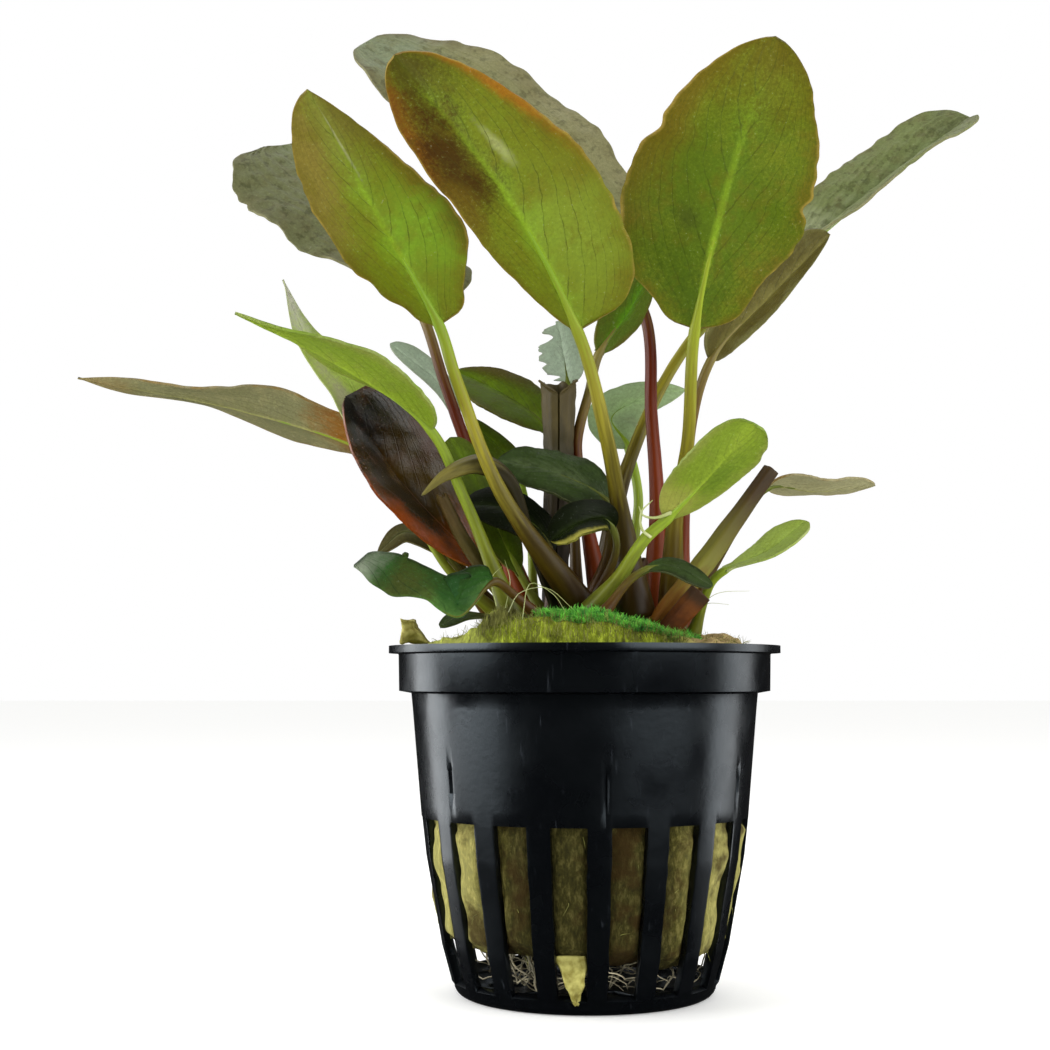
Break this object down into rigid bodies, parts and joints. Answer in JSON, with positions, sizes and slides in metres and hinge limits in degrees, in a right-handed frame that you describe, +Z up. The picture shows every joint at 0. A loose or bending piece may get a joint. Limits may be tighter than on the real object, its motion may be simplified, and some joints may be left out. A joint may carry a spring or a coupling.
{
  "type": "potted lagenandra",
  "caption": "Potted aquarium plant: broad olive and green leaves on long stems rise from moss and rock wool in a slotted black net pot.",
  "frame": {"origin": "centre of the pot's flat base, on the surface that it stands on", "axes": "+Z up, -Y towards the side that the picture shows, +X to the picture's right"},
  "size_m": [0.139, 0.0712, 0.1464],
  "materials": {
    "pot_plastic": "satin black moulding, finely scuffed",
    "rock_wool": "matt matted fibres, tinged green",
    "moss": "fuzzy, matt",
    "fine_roots": "matt, curly",
    "leaf_olive": "satin, fine veins, rust-brown margins",
    "leaf_green": "satin, fine veins",
    "leaf_grey": "dull, puckered and speckled",
    "leaf_dark": "glossy, wet",
    "leaf_brown": "glossy, wilting",
    "stem_yellow": "satin, finely striped",
    "stem_green": "satin, finely striped",
    "stem_red": "satin, finely striped",
    "stem_brown": "dull, fibrous, cut across"
  },
  "bodies": {
    "root": {"cut_stalk_right": "stem_brown", "cut_stub_right": "stem_brown", "hollow_cut_stalk": "stem_brown", "leaf_back_left": "leaf_grey", "leaf_back_right": "leaf_grey", "leaf_back_top": "leaf_grey", "leaf_behind_brown": "leaf_grey", "leaf_brown_folded": "leaf_brown", "leaf_cup_left": "leaf_dark", "leaf_dark_green": "leaf_dark", "leaf_dark_right": "leaf_brown", "leaf_far_left": "leaf_grey", "leaf_front_left": "leaf_olive", "leaf_front_middle": "leaf_olive", "leaf_front_right": "leaf_olive", "leaf_green_left": "leaf_green", "leaf_green_right": "leaf_green", "leaf_narrow_green": "leaf_green", "leaf_narrow_grey": "leaf_grey", "leaf_olive_middle": "leaf_olive", "leaf_pale_back": "leaf_grey", "leaf_pale_left": "leaf_green", "leaf_round_green": "leaf_green", "leaf_shadowed": "leaf_dark", "leaf_small_dark": "leaf_dark", "leaf_small_right": "leaf_green", "leaf_thin_olive": "leaf_olive", "leaf_tiny_left": "leaf_dark", "leaf_torn_grey": "leaf_grey", "leaf_yellow_margin": "leaf_dark", "leaf_young_middle": "leaf_dark", "moss_mat": "moss", "net_pot": "pot_plastic", "rock_wool": "rock_wool", "rolled_leaf": "leaf_brown", "root_tangle": "fine_roots", "sheath_left": "stem_green", "sheath_middle": "stem_brown", "stem_back_left": "stem_red", "stem_back_right": "stem_yellow", "stem_back_top": "stem_red", "stem_brown_folded": "stem_red", "stem_cup_left": "stem_green", "stem_dark_green": "stem_brown", "stem_dark_right": "stem_red", "stem_far_left": "stem_yellow", "stem_front_left": "stem_yellow", "stem_front_middle": "stem_yellow", "stem_front_right": "stem_green", "stem_green_left": "stem_green", "stem_green_right": "stem_green", "stem_olive_middle": "stem_brown", "stem_pale_back": "stem_green", "stem_small_right": "stem_green", "stem_thin_olive": "stem_brown", "stem_torn_grey": "stem_brown", "stem_young_middle": "stem_red", "wool_corner": "rock_wool"}
  },
  "joints": []
}
